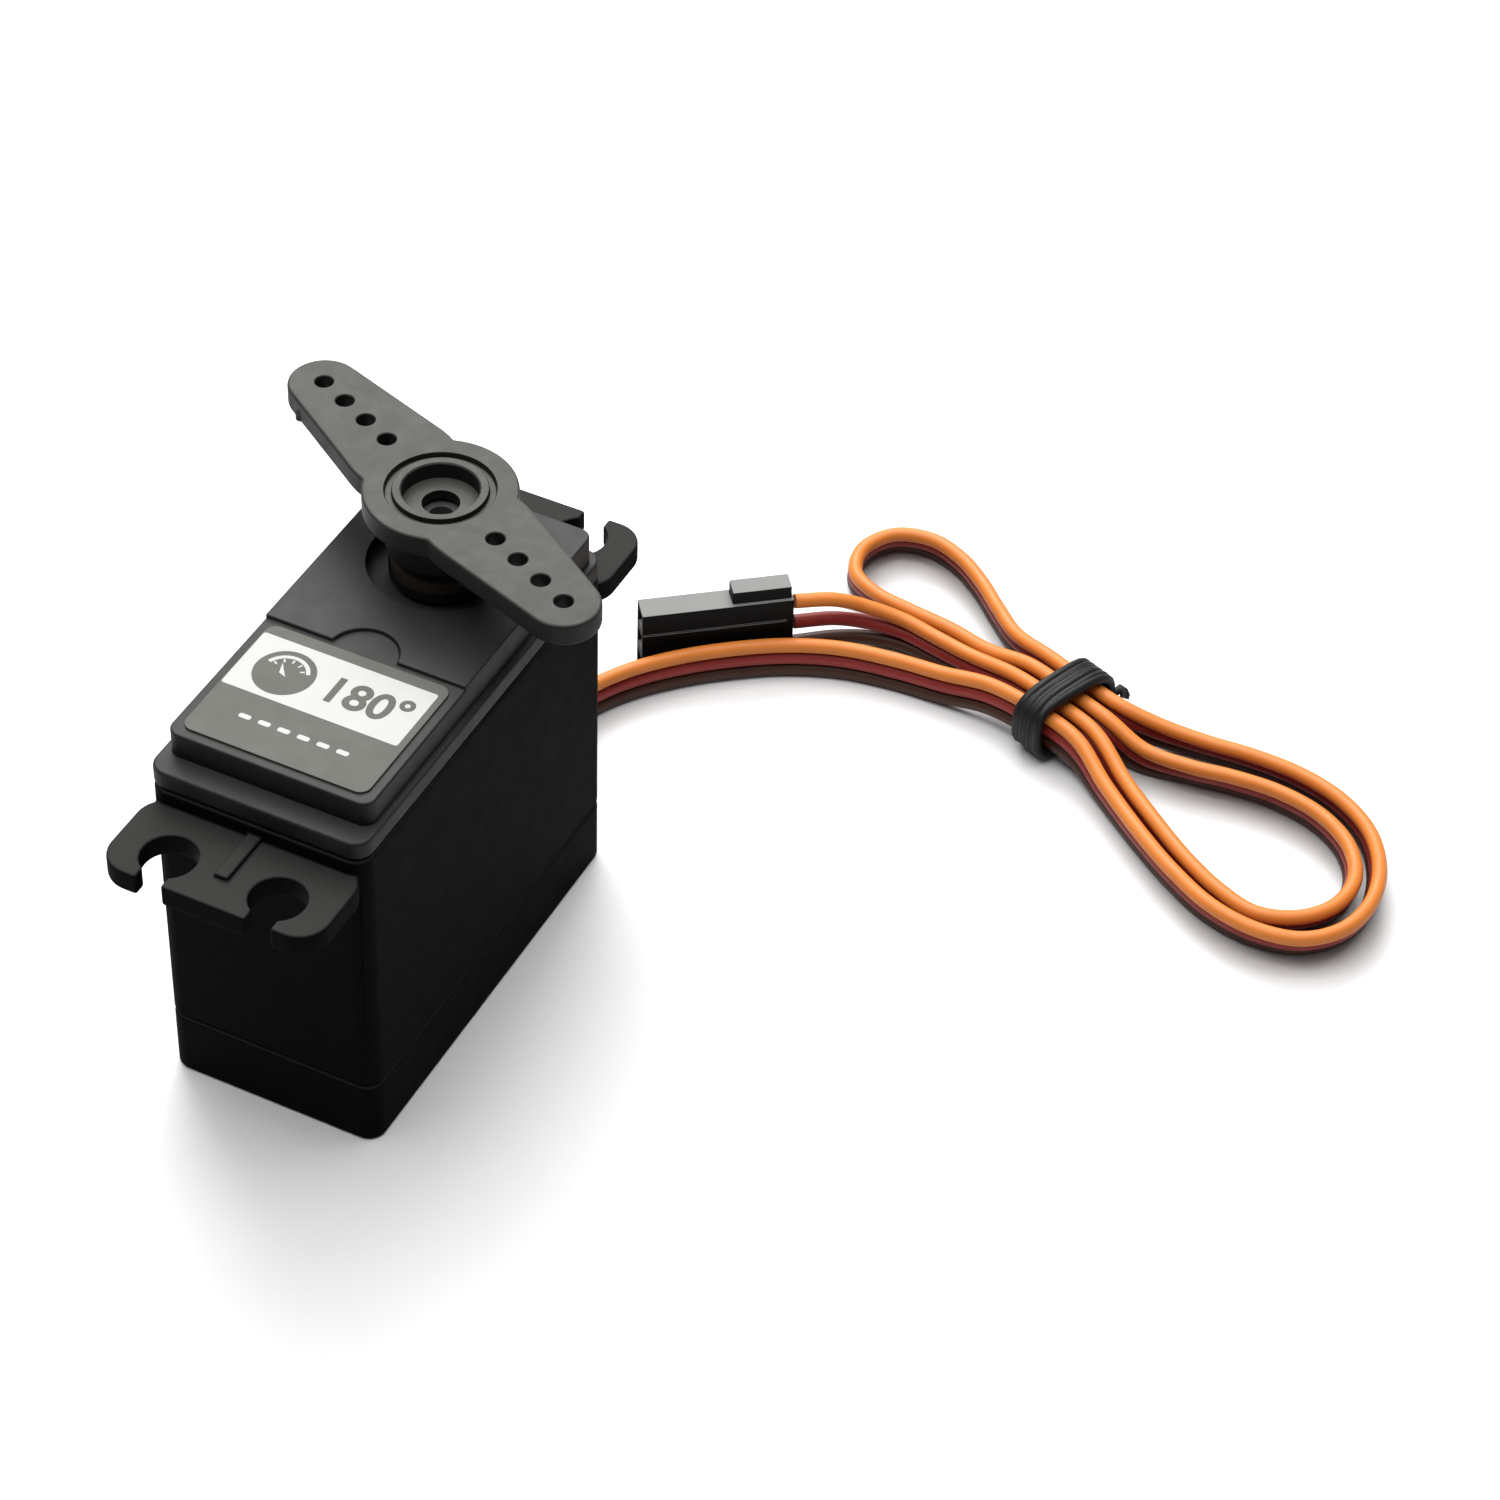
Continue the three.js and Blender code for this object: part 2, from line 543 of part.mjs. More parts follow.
add(servo, 'bottom_cover', bottomCover(), BLACK, 0.55);
add(servo, 'middle_case', middleCase(), BLACK, 0.55);
add(servo, 'top_cover', topCover(), 0x3a3c39, 0.5);
screwPlaces.forEach(([x, y], i) => add(servo, `case_screw_${i + 1}`, caseScrew(x, y), STEEL, 0.35, 1));
add(servo, 'output_bushing', cut(
  rod(bushing.outer, bushing.low, bushing.high, 0, 0, 24),
  rod(bushing.inner, bushing.low - 1, bushing.high + 1, 0, 0, 24),
), BRONZE, 0.5, 1);
const labelOutline = roundedRectangle(plateauFront + 0.9, deckStep - 0.5, -raisedHalfWidth + 0.9,
  raisedHalfWidth - 0.9, 0.8);
add(servo, 'label', prism(labelOutline, plateauTop + 0.05, plateauTop + 0.2), 0x8a8c82, 0.6);

const idlerPin = rod(pinRadius, gearFloor - pinSeat + 0.1, plateauTop - 0.8, pinAt, 0, 16);
add(servo, 'idler_pin', idlerPin, STEEL, 0.25, 1);
add(servo, 'motor_can', motorCan(), STEEL, 0.35, 1);
add(servo, 'motor_end_cap', motorEndCap(), 0x2b2b2e, 0.6);
add(servo, 'motor_magnet_front', magnet(-1), 0x4a4a4c, 0.7);
add(servo, 'motor_magnet_back', magnet(1), 0x4a4a4c, 0.7);
add(servo, 'rotor', rotor(), 0x9a6a3a, 0.5, 0.6);
add(servo, 'motor_pinion', motorPinion(), BRASS, 0.35, 1);
add(servo, 'motor_terminal_left', motorTerminal(1), BRASS, 0.4, 1);
add(servo, 'motor_terminal_right', motorTerminal(-1), BRASS, 0.4, 1);

const bore = pinRadius + runningGap;
add(servo, 'first_gear', compoundGear(0, Math.PI, 0, bore, pinAt), NYLON, 0.5);
add(servo, 'second_gear', compoundGear(1, Math.PI, Math.PI, shaft.journal + runningGap, 0), NYLON, 0.5);
add(servo, 'third_gear', compoundGear(2, 0, 0, bore, pinAt), NYLON, 0.5);
add(servo, 'output_gear', outputGear(), 0x2b2c2d, 0.5);

add(servo, 'potentiometer', potentiometerBody(), 0x5a4632, 0.5);
add(servo, 'potentiometer_shaft', potentiometerShaft(), NYLON, 0.5);
add(servo, 'circuit_board', circuitBoard(), 0x1f6b3a, 0.5);
add(servo, 'driver_chip', chip(-4, 0, 2.5, 3, 1.2), 0x17181a, 0.5);
add(servo, 'transistor_left', chip(-11, 4.5, 1.6, 1.5, 0.9), 0x17181a, 0.5);
add(servo, 'transistor_right', chip(-11, -4.5, 1.6, 1.5, 0.9), 0x17181a, 0.5);
add(servo, 'smoothing_capacitor', chip(2.6, -5, 1.2, 1.6, 1.6), 0xc8a03c, 0.5);

const hornGroup = new THREE.Group();
hornGroup.rotation.z = hornAngle;
servo.add(hornGroup);
add(hornGroup, 'horn', hornBody(), 0x8f9089, 0.55);

add(servo, 'wire_grommet', wireGrommet(), 0x202020, 0.8);
add(servo, 'ground_wire', wireTube(0), 0x4a2a22, 0.45);
add(servo, 'power_wire', wireTube(1), 0x8f2f38, 0.45);
add(servo, 'signal_wire', wireTube(2), 0xe8843a, 0.45);

const plugGroup = new THREE.Group();
plugGroup.position.set(plug.x, plug.y, 0);
plugGroup.rotation.z = THREE.MathUtils.degToRad(plug.angle);
servo.add(plugGroup);
add(plugGroup, 'plug_housing', plugHousing(), 0x161616, 0.5);
['ground', 'power', 'signal'].forEach((line, i) => (
  add(plugGroup, `${line}_contact`, plugContact(i), BRASS, 0.3, 1)));

// Laid over so that the loop's axis is level, then turned along the wires.
const tieGroup = new THREE.Group();
tieGroup.position.set(tie.x, tie.y, 0);
tieGroup.rotation.set(Math.PI / 2, 0, THREE.MathUtils.degToRad(tie.turn), 'ZXY');
servo.add(tieGroup);
add(tieGroup, 'cable_tie', cableTie(), 0x1c1e1e, 0.7);

export default servo;
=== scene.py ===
"""Looks for a standard-size hobby servo motor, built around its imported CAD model.

Lengths below are in millimetres in the row frame: origin on the output shaft's axis at the base's plane,
+Z up, +X from the label end to the shaft end. Meshes are scaled to metres as they are made.
"""
import json
import math
import random

import bmesh
import bpy
from mathutils import Matrix, Vector


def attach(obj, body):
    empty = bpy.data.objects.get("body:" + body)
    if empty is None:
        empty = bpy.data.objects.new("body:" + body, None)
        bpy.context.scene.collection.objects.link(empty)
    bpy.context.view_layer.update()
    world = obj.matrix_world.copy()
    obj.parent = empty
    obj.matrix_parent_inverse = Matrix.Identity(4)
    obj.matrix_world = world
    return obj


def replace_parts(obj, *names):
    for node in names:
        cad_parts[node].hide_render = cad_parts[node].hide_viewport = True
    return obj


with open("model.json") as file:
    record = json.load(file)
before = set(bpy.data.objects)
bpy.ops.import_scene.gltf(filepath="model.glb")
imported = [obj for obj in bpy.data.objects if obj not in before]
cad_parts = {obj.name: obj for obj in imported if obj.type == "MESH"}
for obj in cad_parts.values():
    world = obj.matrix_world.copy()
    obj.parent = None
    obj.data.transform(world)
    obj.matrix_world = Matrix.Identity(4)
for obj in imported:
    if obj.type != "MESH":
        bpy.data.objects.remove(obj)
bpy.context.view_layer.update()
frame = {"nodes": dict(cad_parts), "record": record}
nodes = frame["nodes"]
scene = bpy.context.scene
MM = 0.001

# ---- camera, at the photograph's angle ----
camera = bpy.data.objects.new("camera", bpy.data.cameras.new("camera"))
camera.location = Vector((-233.9, -137.92, 268.71)) * MM
camera.rotation_euler = [math.radians(angle) for angle in (47.028, -1.601, -63.505)]
camera.data.lens = 102.72
camera.data.sensor_width = 36
camera.data.clip_start = 0.01
camera.data.clip_end = 10
scene.collection.objects.link(camera)
scene.camera = camera


# ---- materials ----
def material(name, color, rough=(0.45, 0.6), mottle=0.12, patch=3.0, grain=0.25, bump=0.02, metal=0.0,
             specular=0.5, painted_top_color=None):
    """Colour varies over patches of the given size in mm, and a bump of the given grain size roughens it.

    Faces that look up take a lighter colour, which is painted light standing for the bright light from above,
    so that the sides stay dark beside the brightly lit top.
    """
    made = bpy.data.materials.new(name)
    made.use_nodes = True
    tree = made.node_tree
    links = tree.links
    shader = tree.nodes["Principled BSDF"]
    place = tree.nodes.new("ShaderNodeTexCoord")

    def noise(size, detail=3.0):
        node = tree.nodes.new("ShaderNodeTexNoise")
        node.inputs["Scale"].default_value = 1 / (size * MM)
        node.inputs["Detail"].default_value = detail
        links.new(place.outputs["Object"], node.inputs["Vector"])
        return node.outputs["Fac"]

    def spread(value, low, high):
        node = tree.nodes.new("ShaderNodeMapRange")
        node.inputs["From Min"].default_value = 0.3
        node.inputs["From Max"].default_value = 0.7
        node.inputs["To Min"].default_value = low
        node.inputs["To Max"].default_value = high
        links.new(value, node.inputs["Value"])
        return node.outputs["Result"]

    def mixed(factor, first, second):
        node = tree.nodes.new("ShaderNodeMix")
        node.data_type = "RGBA"
        links.new(factor, node.inputs["Factor"])
        for socket, value in ((node.inputs[6], first), (node.inputs[7], second)):
            if isinstance(value, tuple):
                socket.default_value = (*value, 1)
            else:
                links.new(value, socket)
        return node.outputs[2]

    dark = tuple(channel * (1 - mottle) for channel in color)
    light = tuple(min(channel * (1 + mottle), 1) for channel in color)
    tone = mixed(noise(patch), dark, light)
    # painted light: up-facing faces get a lighter colour standing for the light from above, while the sides
    # keep the darker colour
    if painted_top_color:
        facing = tree.nodes.new("ShaderNodeNewGeometry")
        height = tree.nodes.new("ShaderNodeSeparateXYZ")
        ramp = tree.nodes.new("ShaderNodeMapRange")
        ramp.inputs["From Min"].default_value = 0.4
        ramp.inputs["From Max"].default_value = 0.95
        links.new(facing.outputs["Normal"], height.inputs["Vector"])
        links.new(height.outputs["Z"], ramp.inputs["Value"])
        painted_top_light = mixed(noise(patch), tuple(channel * (1 - mottle) for channel in painted_top_color), painted_top_color)
        tone = mixed(ramp.outputs["Result"], tone, painted_top_light)
    links.new(tone, shader.inputs["Base Color"])
    links.new(spread(noise(patch * 0.6), *rough), shader.inputs["Roughness"])
    relief = tree.nodes.new("ShaderNodeBump")
    relief.inputs["Strength"].default_value = 0.6
    relief.inputs["Distance"].default_value = bump * MM
    links.new(noise(grain, 2.0), relief.inputs["Height"])
    links.new(relief.outputs["Normal"], shader.inputs["Normal"])
    shader.inputs["Metallic"].default_value = metal
    shader.inputs["Specular IOR Level"].default_value = specular
    return made


FINISHES = {
    # case: the lighter colour for up-facing faces is painted top light
    "case_plastic": dict(color=(0.0022, 0.003, 0.0024), rough=(0.6, 0.66), mottle=0.1, bump=0.02,
                         specular=0.015, painted_top_color=(0.026, 0.027, 0.025)),
    # top cover: the lighter colour for up-facing faces is painted top light
    "cover_plastic": dict(color=(0.004, 0.0046, 0.004), rough=(0.54, 0.6), mottle=0.1, bump=0.02,
                          specular=0.18, painted_top_color=(0.02, 0.021, 0.019)),
    # bushing: the bronze is painted nearly black, as painted shade under the horn, far darker than bare
    # bronze
    "sintered_bronze": dict(color=(0.03, 0.022, 0.016), rough=(0.55, 0.65), metal=0.3, grain=0.12,
                            mottle=0.08),
    "screw_steel": dict(color=(0.55, 0.55, 0.55), rough=(0.25, 0.4), metal=1.0, bump=0.01),
    "pin_steel": dict(color=(0.62, 0.62, 0.63), rough=(0.15, 0.25), metal=1.0, bump=0.005),
    "can_steel": dict(color=(0.6, 0.61, 0.63), rough=(0.25, 0.4), metal=1.0, patch=6.0, bump=0.01),
    "brass": dict(color=(0.72, 0.5, 0.2), rough=(0.2, 0.35), metal=1.0, bump=0.01),
    "magnet": dict(color=(0.06, 0.06, 0.065), rough=(0.6, 0.8), grain=0.15),
    "winding": dict(color=(0.33, 0.13, 0.045), rough=(0.3, 0.45), metal=0.6, grain=0.4, bump=0.08),
    "gear_nylon": dict(color=(0.8, 0.78, 0.7), rough=(0.4, 0.5), mottle=0.05),
    "shaft_nylon": dict(color=(0.05, 0.052, 0.055), rough=(0.35, 0.5)),
    "end_cap_plastic": dict(color=(0.03, 0.03, 0.035)),
    "pot_body": dict(color=(0.1, 0.06, 0.035)),
    "board": dict(color=(0.015, 0.12, 0.04), rough=(0.25, 0.4), mottle=0.25, patch=1.2),
    "chip": dict(color=(0.015, 0.015, 0.017), rough=(0.4, 0.5)),
    "capacitor": dict(color=(0.5, 0.3, 0.06)),
    "label_film": dict(color=(0.07, 0.072, 0.062), rough=(0.6, 0.7), mottle=0.07, bump=0.006, specular=0.2),
    # horn: the lighter colour for up-facing faces is painted top light, with the sides left dark
    "horn_plastic": dict(color=(0.009, 0.0095, 0.0085), rough=(0.5, 0.6), mottle=0.2, patch=2.0, bump=0.03,
                         specular=0.15, painted_top_color=(0.045, 0.045, 0.04)),
    "grommet_rubber": dict(color=(0.015, 0.015, 0.015), rough=(0.6, 0.75)),
    "ground_insulation": dict(color=(0.045, 0.014, 0.007), rough=(0.42, 0.52), mottle=0.1, bump=0.015,
                              specular=0.3),
    "power_insulation": dict(color=(0.21, 0.018, 0.014), rough=(0.42, 0.52), mottle=0.1, bump=0.015,
                             specular=0.3),
    "signal_insulation": dict(color=(0.5, 0.15, 0.024), rough=(0.42, 0.52), mottle=0.07, bump=0.015,
                              specular=0.28),
    # plug: the pale colour for up-facing faces is a painted highlight, standing for light reflected off the
    # black plug's top
    "plug_plastic": dict(color=(0.002, 0.0022, 0.002), rough=(0.5, 0.56), bump=0.02, specular=0.08,
                         painted_top_color=(0.17, 0.172, 0.165)),
    "tie_plastic": dict(color=(0.004, 0.0048, 0.0046), rough=(0.45, 0.58), bump=0.04, grain=0.35,
                        specular=0.2),
}
materials = {slot: material(slot, **finish) for slot, finish in FINISHES.items()}
ink = dict(rough=(0.6, 0.7), bump=0.004, specular=0.2)
print_white = material("print_white", (0.36, 0.36, 0.35), mottle=0.03, **ink)
print_grey = material("print_grey", (0.07, 0.07, 0.06), mottle=0.08, **ink)

for part in frame["record"]["subparts"]:
    shown = nodes[part["node"]]
    shown.data.materials.clear()
    shown.data.materials.append(materials[part["material_slot"]])


# ---- mesh tools ----
def piece(name, mesh, slot, body="housing", finish=None):
    mesh = shaded(mesh)
    mesh.transform(Matrix.Scale(MM, 4))
    mesh.materials.clear()
    mesh.materials.append(finish or materials[slot])
    made = bpy.data.objects.new(name, mesh)
    scene.collection.objects.link(made)
    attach(made, body)
    return made


def arc(x, y, radius, start, end, steps):
    turns = [math.radians(start + (end - start) * i / steps) for i in range(steps + 1)]
    return [(x + radius * math.cos(turn), y + radius * math.sin(turn)) for turn in turns]


def circle(radius, x=0.0, y=0.0, sides=64):
    return arc(x, y, radius, 0, 360, sides)[:-1]


def rounded(x0, x1, y0, y1, radius, steps=10):
    return (arc(x1 - radius, y1 - radius, radius, 0, 90, steps)
            + arc(x0 + radius, y1 - radius, radius, 90, 180, steps)
            + arc(x0 + radius, y0 + radius, radius, 180, 270, steps)
            + arc(x1 - radius, y0 + radius, radius, 270, 360, steps))


def prism(outline, low, high):
    form = bmesh.new()
    bottom = [form.verts.new((x, y, low)) for x, y in outline]
    top = [form.verts.new((x, y, high)) for x, y in outline]
    form.faces.new(bottom[::-1])
    form.faces.new(top)
    for i in range(len(outline)):
        after = (i + 1) % len(outline)
        form.faces.new((bottom[i], bottom[after], top[after], top[i]))
    mesh = bpy.data.meshes.new("prism")
    form.to_mesh(mesh)
    form.free()
    return mesh


def block(x0, x1, y0, y1, z0, z1):
    return prism([(x0, y0), (x1, y0), (x1, y1), (x0, y1)], z0, z1)


def rod(radius, low, high, x=0.0, y=0.0, sides=64):
    return prism(circle(radius, x, y, sides), low, high)


def spun(profile, x=0.0, y=0.0, sides=72):
    """A solid of revolution about a vertical line, from a closed outline of (radius, height) points."""
    form = bmesh.new()
    rings = []
    for i in range(sides):
        turn = 2 * math.pi * i / sides
        across, along = math.cos(turn), math.sin(turn)
        rings.append([form.verts.new((x + r * across, y + r * along, z)) for r, z in profile])
    for ring, after in zip(rings, rings[1:] + rings[:1]):
        for k in range(len(profile)):
            n = (k + 1) % len(profile)
            if profile[k][0] or profile[n][0]:
                form.faces.new((ring[k], after[k], after[n], ring[n]))
    bmesh.ops.remove_doubles(form, verts=form.verts, dist=1e-5)
    bmesh.ops.recalc_face_normals(form, faces=form.faces)
    mesh = bpy.data.meshes.new("spun")
    form.to_mesh(mesh)
    form.free()
    return mesh


def joined(*meshes):
    form = bmesh.new()
    for mesh in meshes:
        form.from_mesh(mesh)
    mesh = bpy.data.meshes.new("joined")
    form.to_mesh(mesh)
    form.free()
    return mesh


def modified(mesh, *settings):
    """The mesh after a stack of modifiers, each given as (type, settings)."""
    holder = bpy.data.objects.new("holder", mesh)
    scene.collection.objects.link(holder)
    for kind, values in settings:
        step = holder.modifiers.new(kind.lower(), kind)
        for key, value in values.items():
            setattr(step, key, value)
    graph = bpy.context.evaluated_depsgraph_get()
    result = bpy.data.meshes.new_from_object(holder.evaluated_get(graph))
    bpy.data.objects.remove(holder)
    return result


def boolean(mesh, operation, tools):
    for tool in tools:
        other = bpy.data.objects.new("tool", tool)
        scene.collection.objects.link(other)
        mesh = modified(mesh, ("BOOLEAN", dict(operation=operation, solver="EXACT", object=other)))
        bpy.data.objects.remove(other)
    return mesh


def union(first, *others):
    return boolean(first, "UNION", others)


def cut(first, *tools):
    return boolean(first, "DIFFERENCE", tools)


def softened(mesh, width, segments=3, angle=38):
    """Rounds every edge sharper than the angle, as a moulding tool does."""
    form = bmesh.new()
    form.from_mesh(mesh)
    bmesh.ops.remove_doubles(form, verts=form.verts, dist=0.002)
    bmesh.ops.dissolve_limit(form, angle_limit=math.radians(1), verts=form.verts, edges=form.edges)
    form.to_mesh(mesh)
    form.free()
    bevel = dict(width=width, segments=segments, limit_method="ANGLE", angle_limit=math.radians(angle),
                 use_clamp_overlap=False, miter_outer="MITER_SHARP")
    return modified(mesh, ("BEVEL", bevel))


def shaded(mesh):
    """Smooth shading that stays flat on the flat faces and keeps the sharp edges."""
    for face in mesh.polygons:
        face.use_smooth = True
    mesh.set_sharp_from_angle(angle=math.radians(36))
    return modified(mesh, ("WEIGHTED_NORMAL", dict(keep_sharp=True, weight=80)))


def smooth_line(stops, steps):
    """Points along a centripetal Catmull-Rom curve through the stops."""
    ends = [2 * stops[0] - stops[1], 2 * stops[-1] - stops[-2]]
    padded = [ends[0], *stops, ends[1]]
    points = []
    for i in range(1, len(padded) - 2):
        a, b, c, d = padded[i - 1:i + 3]
        t0 = 0.0
        t1 = t0 + math.sqrt((b - a).length)
        t2 = t1 + math.sqrt((c - b).length)
        t3 = t2 + math.sqrt((d - c).length)
        for k in range(steps):
            t = t1 + (t2 - t1) * k / steps
            ab = a * ((t1 - t) / (t1 - t0)) + b * ((t - t0) / (t1 - t0))
            bc = b * ((t2 - t) / (t2 - t1)) + c * ((t - t1) / (t2 - t1))
            cd = c * ((t3 - t) / (t3 - t2)) + d * ((t - t2) / (t3 - t2))
            abc = ab * ((t2 - t) / (t2 - t0)) + bc * ((t - t0) / (t2 - t0))
            bcd = bc * ((t3 - t) / (t3 - t1)) + cd * ((t - t1) / (t3 - t1))
            points.append(abc * ((t2 - t) / (t2 - t1)) + bcd * ((t - t1) / (t2 - t1)))
    return points + [stops[-1]]


def tube(name, points, radius, slot):
    data = bpy.data.curves.new(name, "CURVE")
    data.dimensions = "3D"
    data.bevel_depth = radius * MM
    data.bevel_resolution = 4
    data.use_fill_caps = True
    line = data.splines.new("POLY")
    line.points.add(len(points) - 1)
    for spot, point in zip(line.points, points):
        spot.co = (*(point * MM), 1)
    line.use_smooth = True
    data.materials.append(materials[slot])
    made = bpy.data.objects.new(name, data)
    scene.collection.objects.link(made)
    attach(made, "housing")
    return made


# ---- lead: three wires one above the other, looped and tied ----
WIRE_RADIUS = 0.7
WIRE_PITCH = 1.4
WIRE_LOWEST = 0.7
PLUG = dict(length=14.4, height=7.6, thickness=2.6, pitch=2.54, angle=-52, x=41.6, y=-13.1)
TIE = dict(x=43.1, y=-40.4, turn=-21.2, length=4.4, half_width=4.3, height=6.9, strand=0.9)
LEAN = dict(x=-0.77, y=-0.36, first=13, last=62, upright=4, over=8)
KEY = dict(length=5.6, half=1, height=1.4, set_back=0.2)
SOCKET_HALF = 0.95
SOCKET_END = -3.4
LATCH_WINDOW = dict(start=-8.6, end=-6.2, half=0.7, depth=0.6)
LATCH_TONGUE = dict(end=-3.2, half=0.5, depth=0.25)
WIRE_ENTRY = dict(radius=0.8, start=-1.2, length=3)
PLUG_LINES = (2.3, 5.1)
PLUG_LINE = dict(height=0.2, depth=0.12)

# Each stop: x, y, extra height, and how far the wires have spread to the plug's pitch.
ROUTE = [
    (12.8, 0, 1.4, 0), (16.5, 0.2, 1.2, 0), (20.5, 0.3, 0.5, 0), (24.5, -0.5, 0, 0), (28.6, -2.7, 0, 0),
    (32.4, -5.9, 0, 0), (35.9, -9.9, 0, 0), (38.8, -14.2, 0, 0), (40.8, -18.9, 0, 0), (41.7, -23.8, 0, 0),
    (41.9, -28.8, 0.2, 0), (41.7, -33.6, 1, 0), (40.3, -39.3, 1.2, 0), (38.6, -43.7, 1.1, 0),
    (35.8, -47.6, 0.2, 0), (31.5, -53.2, 0, 0), (28.6, -57.4, 0, 0), (26.3, -61.8, 0, 0), (25.4, -66.4, 0, 0),
    (26.2, -70.4, 0, 0), (29, -73.2, 0, 0), (33.2, -74.2, 0, 0), (37.6, -73.4, 0, 0), (41.6, -71, 0, 0),
    (44.4, -67.2, 0, 0), (45.8, -62.8, 0, 0), (46.1, -58, 0, 0), (45.8, -53.4, 0, 0), (45.3, -49.2, 0.3, 0),
    (44.8, -45.2, 1.1, 0), (45.9, -41.5, 1.2, 0), (48, -36.8, 1.1, 0), (50.9, -32.2, 0.2, 0),
    (53.6, -29.2, 0, 0), (56.4, -26.2, 0, 0), (58.7, -23, 0, 0), (59.9, -19.4, 0, 0), (58.9, -15.9, 0, 0),
    (55.6, -14.1, 0, 0), (52, -15, 0, 0), (50.2, -18, 0, 0), (49.5, -22, 0, 0), (48.9, -26.4, 0, 0),
    (47.5, -30.8, 0.2, 0), (46, -35.8, 1.1, 0), (44, -40.8, 1.2, 0), (42.5, -45, 1.1, 0), (41.8, -49, 0, 0),
    (42, -53.4, 0, 0), (42.6, -57.6, 0, 0), (42.7, -62, 0, 0), (41.6, -66.4, 0, 0), (39, -70, 0, 0),
    (35.3, -71.9, 0, 0), (31.4, -71.5, 0, 0), (28.5, -69.1, 0, 0), (27.3, -65.6, 0, 0), (28.4, -61.8, 0, 0),
    (30.9, -57.4, 0, 0), (34, -53.2, 0, 0), (37, -49.2, 0.2, 0), (40.3, -44.7, 1.1, 0), (42.2, -40, 1.2, 0),
    (43.9, -35.2, 1.1, 0), (45.4, -30, 0.2, 0), (46.4, -26, 0, 0), (46.9, -22.4, 0, 0.1),
    (46.1, -19.2, 0, 0.4), (44.4, -16.4, 0, 0.8), (41.78, -13.34, 0, 1),
]


def lean_at(x, y, stop):
    """The wires lean over together in the loops, and stand upright near the tie and at the route's ends."""
    share = (math.hypot(x - TIE["x"], y - TIE["y"]) - LEAN["upright"]) / LEAN["over"]
    return min(max(share, 0), 1) if LEAN["first"] <= stop <= LEAN["last"] else 0


def wire_points(index):
    from_middle = index - 1
    at_plug = PLUG["height"] / 2 + from_middle * PLUG["pitch"]
    stops = []
    for stop, (x, y, lift, spread) in enumerate(ROUTE):
        flat = WIRE_LOWEST + lift + index * WIRE_PITCH
        shift = lean_at(x, y, stop) * from_middle
        stops.append(Vector((x + shift * LEAN["x"], y + shift * LEAN["y"], flat + (at_plug - flat) * spread)))
    return smooth_line(stops, 8)


def turned(mesh, angle, x, y):
    mesh.transform(Matrix.Translation((x, y, 0)) @ Matrix.Rotation(math.radians(angle), 4, "Z"))
    return mesh


def plug_mesh():
    length, height, half = PLUG["length"], PLUG["height"], PLUG["thickness"] / 2
    body = block(-length, 0, -half, half, 0, height)
    key_start = -KEY["set_back"] - KEY["length"]
    body = union(body, block(key_start, -KEY["set_back"], -KEY["half"], KEY["half"],
                             height - 0.4, height + KEY["height"]))
    window, tongue = LATCH_WINDOW, LATCH_TONGUE
    tools = []
    for i in (-1, 0, 1):
        middle = height / 2 + i * PLUG["pitch"]
        tools.append(block(-length - 1, SOCKET_END, -SOCKET_HALF, SOCKET_HALF,
                           middle - SOCKET_HALF, middle + SOCKET_HALF))
        tools.append(block(window["start"], window["end"], half - window["depth"], half + 1,
                           middle - window["half"], middle + window["half"]))
        tools.append(block(window["end"], tongue["end"], half - tongue["depth"], half + 1,
                           middle - tongue["half"], middle + tongue["half"]))
        entry = rod(WIRE_ENTRY["radius"], 0, WIRE_ENTRY["length"], sides=32)
        lying = Matrix.Rotation(math.radians(90), 4, "Y")
        entry.transform(Matrix.Translation((WIRE_ENTRY["start"], 0, middle)) @ lying)
        tools.append(entry)
    for low in PLUG_LINES:
        tools.append(block(-length - 1, -0.6, -half - 1, PLUG_LINE["depth"] - half,
                           low, low + PLUG_LINE["height"]))
    return turned(softened(cut(body, *tools), 0.14, 2), PLUG["angle"], PLUG["x"], PLUG["y"])


plug = piece("plug", plug_mesh(), "plug_plastic")
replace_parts(plug, "plug_housing")


def tie_strand(turns, drift, seed, tail):
    """A strand wound round the bundle, drifting along it and back, as a hand-wound tie does."""
    chance = random.Random(seed)
    inset = TIE["strand"] / 2
    wide = TIE["half_width"] + inset - 0.02
    high = TIE["height"] / 2 - inset - 0.02
    steps = 26
    lean = [chance.uniform(-0.6, 0.6) for turn in range(turns + 2)]
    points = []
    for i in range(turns * steps + 1):
        share = i / (turns * steps)
        turn = 2 * math.pi * i / steps
        side = math.copysign(abs(math.cos(turn)) ** 0.62, math.cos(turn)) * wide
        up = math.copysign(abs(math.sin(turn)) ** 0.62, math.sin(turn)) * high
        tilt = lean[i // steps] + (lean[i // steps + 1] - lean[i // steps]) * (i % steps) / steps
        along = drift[0] + (drift[1] - drift[0]) * share + tilt * math.sin(turn)
        points.append(Vector((side, along, TIE["height"] / 2 + up)))
    points += [points[-1] + Vector(step) for step in tail]
    place = Matrix.Translation((TIE["x"], TIE["y"], 0)) @ Matrix.Rotation(math.radians(TIE["turn"]), 4, "Z")
    return [place @ point for point in points]


TAIL = ((0.9, -0.1, 0.3), (1.0, -0.5, 0.15), (0.9, -0.8, 0.0), (0.7, -0.9, -0.2))
ties = [
    tube("tie_wrap_near", tie_strand(4, (1.75, -1.7), 3, TAIL), 0.47, "tie_plastic"),
    tube("tie_wrap_far", tie_strand(3, (-1.4, 1.5), 8, ()), 0.44, "tie_plastic"),
]
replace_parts(ties[0], "cable_tie")

LINES = ("ground", "power", "signal")
wires = [
    tube(f"{line}_lead", wire_points(i), WIRE_RADIUS, f"{line}_insulation")
    for i, line in enumerate(LINES)
]
for line, wire in zip(LINES, wires):
    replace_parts(wire, f"{line}_wire")


